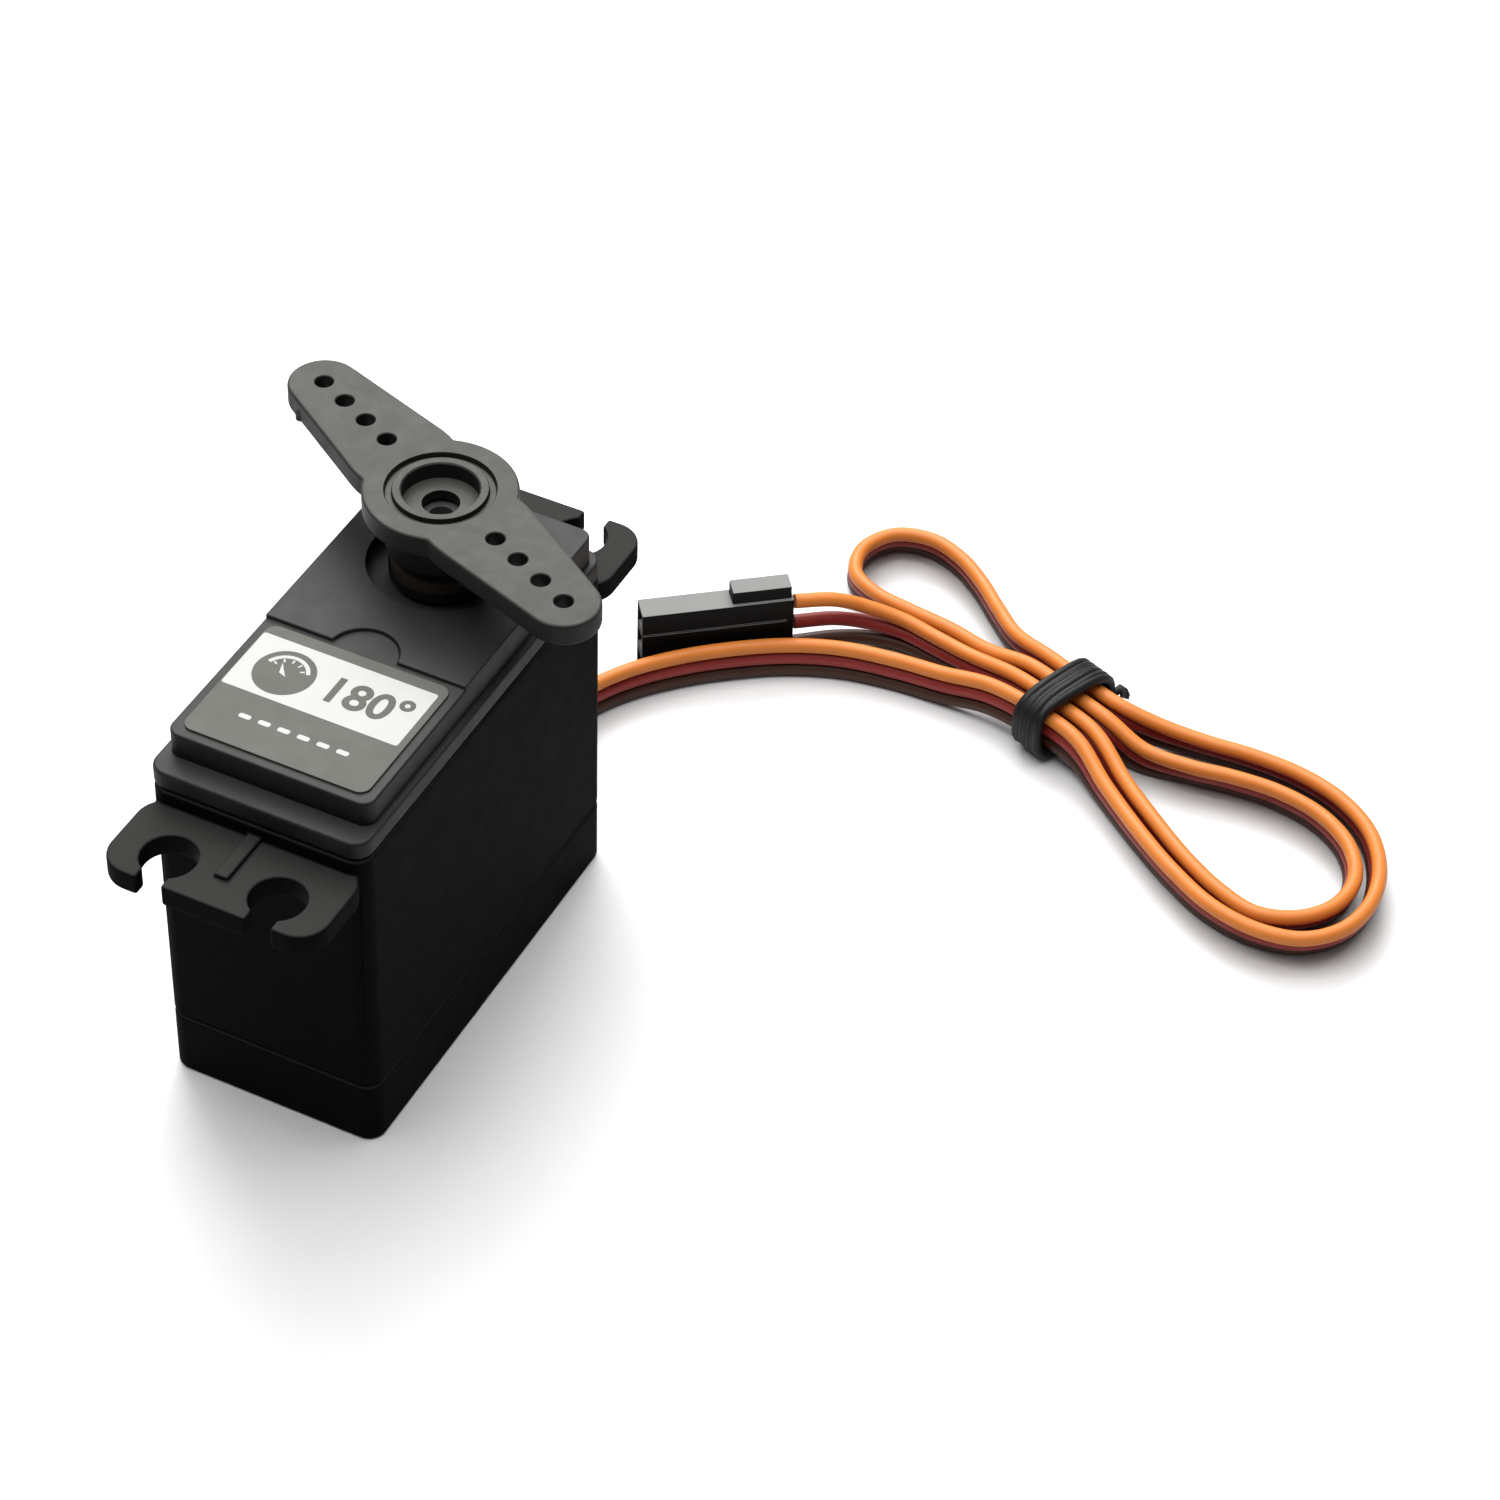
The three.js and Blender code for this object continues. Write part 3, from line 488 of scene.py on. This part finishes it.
# ---- case ----
CASE_FRONT, CASE_BACK, HALF_WIDTH, WALL, CORNER = -30.4, 10.0, 10.0, 1.4, 1.6
SEAM_LOW, SEAM_HIGH, GAP = 6.3, 32.4, 0.3
LEDGE_TOP, PLATEAU_TOP, DECK_TOP = 34.5, 36.9, 37.3
DECK_STEP, PLATEAU_FRONT, DECK_BACK, RAISED_HALF = -12.8, -28.2, 9.2, 9.4
MIDDLE = (CASE_FRONT + CASE_BACK) / 2
LUG = dict(reach=8.0, top=31.0, thickness=2.1, hole=2.35, slot=2.3, corner=2.6)
LUG_HOLES = dict(x=25, y=5)  # half the spacing along and across the case
LUG_RIB = dict(length=5.2, half=0.65, height=0.5)
GEAR_PLATE_LOW, GEAR_PLATE_TOP = 27.6, 29.2
BOSS = dict(radius=6.4, top=38.4, bore=4.5, bore_floor=36.45)
SCREWS = [(x, y) for x in (-28, 7.6) for y in (-7.6, 7.6)]
MOTOR_AT, PIN_AT = -18.4, -10.0


def case_outline(inset=0.0):
    return rounded(CASE_FRONT + inset, CASE_BACK - inset, inset - HALF_WIDTH, HALF_WIDTH - inset,
                   max(CORNER - inset, 0.4))


def at_screws(radius, low, high, sides=32):
    return [rod(radius, low, high, x, y, sides) for x, y in SCREWS]


def lug_mesh(side):
    low = LUG["top"] - LUG["thickness"]
    face = MIDDLE + side * (CASE_BACK - CASE_FRONT) / 2
    end = face + side * LUG["reach"]
    hole = MIDDLE + side * LUG_HOLES["x"]
    x0, x1 = sorted((end, face - side))
    plate = prism(rounded(x0, x1, -HALF_WIDTH, HALF_WIDTH, LUG["corner"]), low, LUG["top"])
    tools = []
    for y in (-LUG_HOLES["y"], LUG_HOLES["y"]):
        s0, s1 = sorted((hole, end + side))
        tools.append(rod(LUG["hole"], low - 1, LUG["top"] + 1, hole, y))
        tools.append(block(s0, s1, y - LUG["slot"] / 2, y + LUG["slot"] / 2, low - 1, LUG["top"] + 1))
    r0, r1 = sorted((face - side * 0.5, face + side * LUG_RIB["length"]))
    rib = block(r0, r1, -LUG_RIB["half"], LUG_RIB["half"], LUG["top"] - 0.6, LUG["top"] + LUG_RIB["height"])
    return union(cut(plate, *tools), rib)


def middle_mesh():
    low = SEAM_LOW + GAP
    outside = softened(union(prism(case_outline(), low, SEAM_HIGH), lug_mesh(-1), lug_mesh(1)), 0.25)
    rooms = [
        prism(case_outline(WALL), low - 1, GEAR_PLATE_LOW),
        prism(case_outline(WALL), GEAR_PLATE_TOP, SEAM_HIGH + 1),
    ]
    body = union(cut(outside, *rooms), *at_screws(2, low + 0.3, SEAM_HIGH - 0.3))
    return cut(body, *at_screws(1.1, low - 1, SEAM_HIGH + 1), rod(3, 26, 31, MOTOR_AT), rod(2.2, 26, 31),
               rod(0.8, 27.9, 31, PIN_AT, sides=32))


def bottom_mesh():
    outside = softened(prism(case_outline(), 0, SEAM_LOW), 0.3)
    body = cut(outside, prism(case_outline(WALL), 1.4, SEAM_LOW + 1))
    body = union(body, *at_screws(2, 0.9, SEAM_LOW - 0.3))
    return cut(body, *at_screws(1.8, -1, 1.5), *at_screws(1.1, -1, SEAM_LOW + 1),
               block(CASE_BACK - 2.8, CASE_BACK + 1, -1.9, 1.9, 1.2, SEAM_LOW + 1))


def raised_outline(x0, x1, inset):
    return rounded(x0 + inset, x1 - inset, inset - RAISED_HALF, RAISED_HALF - inset, 1.2)


def top_mesh():
    low = SEAM_HIGH + GAP
    raised = prism(raised_outline(PLATEAU_FRONT, DECK_BACK, 0), low, DECK_TOP)
    above_plateau = block(PLATEAU_FRONT - 1, DECK_STEP, -HALF_WIDTH, HALF_WIDTH, PLATEAU_TOP, DECK_TOP + 1)
    raised = cut(raised, above_plateau, rod(3, PLATEAU_TOP, DECK_TOP + 1, DECK_STEP - 0.3))
    bore_end = BOSS["top"] + 1
    boss = rod(BOSS["radius"], DECK_TOP - 0.5, BOSS["top"])
    boss = cut(boss, rod(BOSS["bore"], BOSS["bore_floor"], bore_end))
    shoulder = softened(prism(case_outline(), low, LEDGE_TOP), 0.3)
    body = union(shoulder, softened(raised, 0.2), softened(boss, 0.25))
    body = cut(body, prism(case_outline(WALL), low - 1, LEDGE_TOP - 1.2),
               prism(raised_outline(PLATEAU_FRONT, DECK_BACK, 1.1), low - 1, PLATEAU_TOP - 1.1))
    pin_post = rod(1.55, 35.6, PLATEAU_TOP - 0.3, PIN_AT, sides=32)
    posts = [*at_screws(1.9, low + 0.3, LEDGE_TOP - 0.4), pin_post]
    return cut(union(body, *posts), *at_screws(1.05, low - 1, 34.1), rod(0.8, 34.9, 36.3, PIN_AT, sides=32),
               rod(BOSS["bore"], BOSS["bore_floor"], bore_end), rod(3.4, 35.3, bore_end))


for name, mesh, slot, node in (
    ("case_middle", middle_mesh(), "case_plastic", "middle_case"),
    ("case_bottom", bottom_mesh(), "case_plastic", "bottom_cover"),
    ("case_top", top_mesh(), "cover_plastic", "top_cover"),
):
    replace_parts(piece(name, mesh, slot), node)


def screw_mesh(x, y):
    cross = [block(-w, w, -v, v, -1, 0.75) for w, v in ((0.9, 0.17), (0.17, 0.9))]
    head = cut(rod(1.6, 0.2, 1.2, sides=40), *cross)
    shank = rod(0.9, 1.1, 34, sides=24)
    mesh = softened(union(head, shank), 0.1, 2)
    mesh.transform(Matrix.Translation((x, y, 0)))
    return mesh


for i, (x, y) in enumerate(SCREWS):
    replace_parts(piece(f"screw_{i + 1}", screw_mesh(x, y), "screw_steel"), f"case_screw_{i + 1}")


# ---- horn ----
HORN_ANGLE = 63.9
HORN_TOP = 45.05
PLATE = 2.1
HORN_FOOT = dict(radius=4.7, low=39.4)
ARM_HOLES = dict(radius=0.8, first=7.85, step=3.15, count=4)
WELL = dict(radius=3.25, floor=43.5)
SPLINE_SOCKET = dict(radius=3.1, top=42.6)
SCREW_HOLE = 1.6
PIP = dict(radius=0.5, x=16.4, y=2.95)  # small nub on one arm's edge, near its tip


def horn_outline():
    hub, tip, tip_at = 6.5, 3.1, 17.3
    shoulder_half, shoulder_at = 4.45, 7.2
    tangent = math.degrees(math.asin((shoulder_half - tip) / (tip_at - shoulder_at)))
    edge = math.degrees(math.acos(0.72))
    start = Vector((hub * math.cos(math.radians(edge)), -hub * math.sin(math.radians(edge))))
    control, shoulder = Vector((5.6, -4.7)), Vector((7.8, -4.35))
    curve = [start.lerp(control, t / 10).lerp(control.lerp(shoulder, t / 10), t / 10) for t in range(11)]
    lower = [tuple(point) for point in curve]
    upper = [(x, -y) for x, y in lower[::-1]]
    side = lower + arc(tip_at, 0, tip, tangent - 90, 90 - tangent, 28) + upper
    side += arc(0, 0, hub, edge, 180 - edge, 28)[1:-1]
    return side + [(-x, -y) for x, y in side]


def hole_tool(x, radius, low, lip=0.12):
    return spun([(0, low), (radius, low), (radius, HORN_TOP - lip), (radius + 2 * lip, HORN_TOP + lip),
                 (0, HORN_TOP + lip)], x, 0, 32)


def horn_mesh():
    low = HORN_TOP - PLATE
    foot = softened(rod(HORN_FOOT["radius"], HORN_FOOT["low"], low + 0.5, sides=96), 0.25)
    plate = softened(prism(horn_outline(), low, HORN_TOP), 0.28)
    body = union(plate, foot, rod(PIP["radius"], low + 0.1, low + 0.7, PIP["x"], PIP["y"], 16))
    groove_section = ((3.88, 0.1), (4.02, -0.1), (4.06, -0.45), (4.55, -0.45), (4.62, -0.1), (4.76, 0.1))
    groove = spun([(radius, HORN_TOP + height) for radius, height in groove_section])
    arms = []
    for side in (-1, 1):
        for i in range(ARM_HOLES["count"]):
            at = side * (ARM_HOLES["first"] + ARM_HOLES["step"] * i)
            arms.append(hole_tool(at, ARM_HOLES["radius"], low - 1, 0.08))
    well = hole_tool(0, WELL["radius"], WELL["floor"])
    socket = rod(SPLINE_SOCKET["radius"], 38, SPLINE_SOCKET["top"])
    body = cut(body, *arms, groove, well, rod(SCREW_HOLE, 39, HORN_TOP), socket)
    body.transform(Matrix.Rotation(math.radians(HORN_ANGLE), 4, "Z"))
    return body


horn = piece("horn_two_arm", horn_mesh(), "horn_plastic", "output")
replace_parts(horn, "horn")

# ---- label: a grey film with a white band, a plain dial and the travel in degrees ----
FILM_TOP = PLATEAU_TOP + 0.2
BAND_TOP = FILM_TOP + 0.02
INK_TOP = BAND_TOP + 0.012
film = prism(rounded(-27.3, -13.3, -8.5, 8.5, 1.0), PLATEAU_TOP + 0.02, FILM_TOP)
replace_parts(piece("label_film", softened(film, 0.05, 2), "label_film"), "label")
band = prism(rounded(-21.3, -14.5, -7.9, 8.4, 0.25), FILM_TOP - 0.01, BAND_TOP)
piece("label_band", band, "label_film", finish=print_white)
DIAL_X, DIAL_Y, DIAL = -18.05, 4.4, 2.65


def sector(inner, outer, start, end, steps=24):
    return (arc(DIAL_X, DIAL_Y, outer, start, end, steps)
            + arc(DIAL_X, DIAL_Y, inner, end, start, steps))


dial = prism(circle(DIAL, DIAL_X, DIAL_Y), BAND_TOP - 0.005, INK_TOP)
piece("label_dial", dial, "label_film", finish=print_grey)
scale = prism(sector(1.75, 2.1, -70, 70), INK_TOP - 0.004, INK_TOP + 0.01)
ticks = [prism(sector(1.25, 1.65, angle - 3, angle + 3, 3), INK_TOP - 0.004, INK_TOP + 0.01)
         for angle in range(-60, 61, 30)]
needle = prism([(DIAL_X - 0.4, DIAL_Y - 0.3), (DIAL_X + 1.0, DIAL_Y + 0.75), (DIAL_X - 0.15, DIAL_Y + 0.4)],
               INK_TOP - 0.004, INK_TOP + 0.01)
piece("label_scale", joined(scale, needle, *ticks), "label_film", finish=print_white)


def modified_text(data):
    holder = bpy.data.objects.new("figures", data)
    scene.collection.objects.link(holder)
    graph = bpy.context.evaluated_depsgraph_get()
    mesh = bpy.data.meshes.new_from_object(holder.evaluated_get(graph))
    bpy.data.objects.remove(holder)
    return mesh


def lettering(text, size, x, y, z):
    """Flat figures that read towards -Y, with their tops towards +X."""
    data = bpy.data.curves.new("figures", "FONT")
    data.body = text
    data.size = size
    data.extrude = 0.006
    data.offset = 0.11
    mesh = modified_text(data)
    mesh.transform(Matrix.Translation((x, y, z)) @ Matrix.Rotation(math.radians(-90), 4, "Z"))
    return mesh


piece("label_travel", lettering("180°", 4.2, -19.3, 0.8, BAND_TOP), "label_film", finish=print_grey)
marks = [prism(rounded(-24.2, -23.7, y - 0.55, y + 0.55, 0.2, 4), FILM_TOP - 0.004, FILM_TOP + 0.012)
         for y in (-4.5, -2.7, -0.9, 0.9, 2.7, 4.5)]
piece("label_marks", joined(*marks), "label_film", finish=print_white)

# ---- floor and light ----
floor_mesh = prism(rounded(-1500, 1500, -1500, 1500, 200, 4), -20, -0.05)
floor_mesh.transform(Matrix.Scale(MM, 4))
floor_finish = dict(color=(0.62, 0.62, 0.62), rough=(0.7, 0.8), mottle=0.0, bump=0.0, specular=0.2)
floor_mesh.materials.append(material("floor", **floor_finish))
floor = bpy.data.objects.new("floor", floor_mesh)
scene.collection.objects.link(floor)

world = bpy.data.worlds.new("studio")
world.use_nodes = True
world.node_tree.nodes["Background"].inputs["Color"].default_value = (1, 1, 1, 1)
world.node_tree.nodes["Background"].inputs["Strength"].default_value = 0.16
scene.world = world


def softbox(name, place, size, power, target=(0, -10, 20)):
    light = bpy.data.objects.new(name, bpy.data.lights.new(name, "AREA"))
    light.data.shape = "RECTANGLE"
    light.data.size, light.data.size_y = size[0] * MM, size[1] * MM
    light.data.energy = power
    light.location = Vector(place) * MM
    aim = (Vector(target) - Vector(place)).normalized()
    light.rotation_euler = aim.to_track_quat("-Z", "Y").to_euler()
    scene.collection.objects.link(light)


softbox("key", (380, 230, 430), (460, 380), 5.0)
softbox("fill", (-300, -320, 260), (300, 300), 0.05)
softbox("top", (20, 60, 600), (700, 700), 7.5)

scene.view_settings.view_transform = "Standard"
